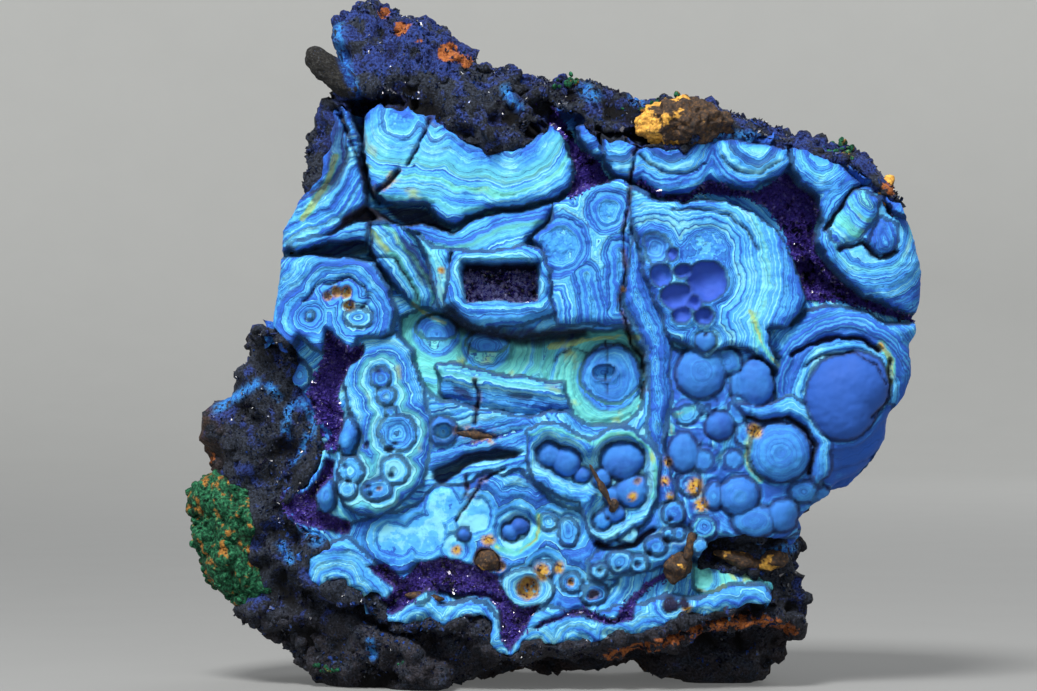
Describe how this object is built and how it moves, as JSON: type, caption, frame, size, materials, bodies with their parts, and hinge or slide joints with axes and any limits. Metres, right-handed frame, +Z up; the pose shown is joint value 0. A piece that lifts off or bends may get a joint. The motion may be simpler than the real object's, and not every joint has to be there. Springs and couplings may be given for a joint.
{
  "type": "azurite specimen",
  "caption": "Azurite mineral specimen: banded blue azurite with rounded domes, growth rings and crystal-lined hollows on dark goethite rock, standing upright on its flat base",
  "frame": {"origin": "centre of the overall box, on the surface that the specimen stands on", "axes": "+X to the right seen from the front, +Y from the blue face towards the back, +Z up"},
  "size_m": [0.1481, 0.0617, 0.1373],
  "materials": {
    "azurite": "matte, velvety",
    "matrix": "rough, sparkling in places",
    "malachite": "matte",
    "limonite": "earthy",
    "azurite_crystals": "glassy crystals"
  },
  "bodies": {
    "root": {"azurite": "azurite", "matrix": "matrix", "malachite_crust": "malachite", "limonite_lump": "limonite", "pocket_druse": "azurite_crystals", "valley_left_druse": "azurite_crystals", "valley_right_druse": "azurite_crystals", "valley_top_druse": "azurite_crystals"}
  },
  "joints": []
}
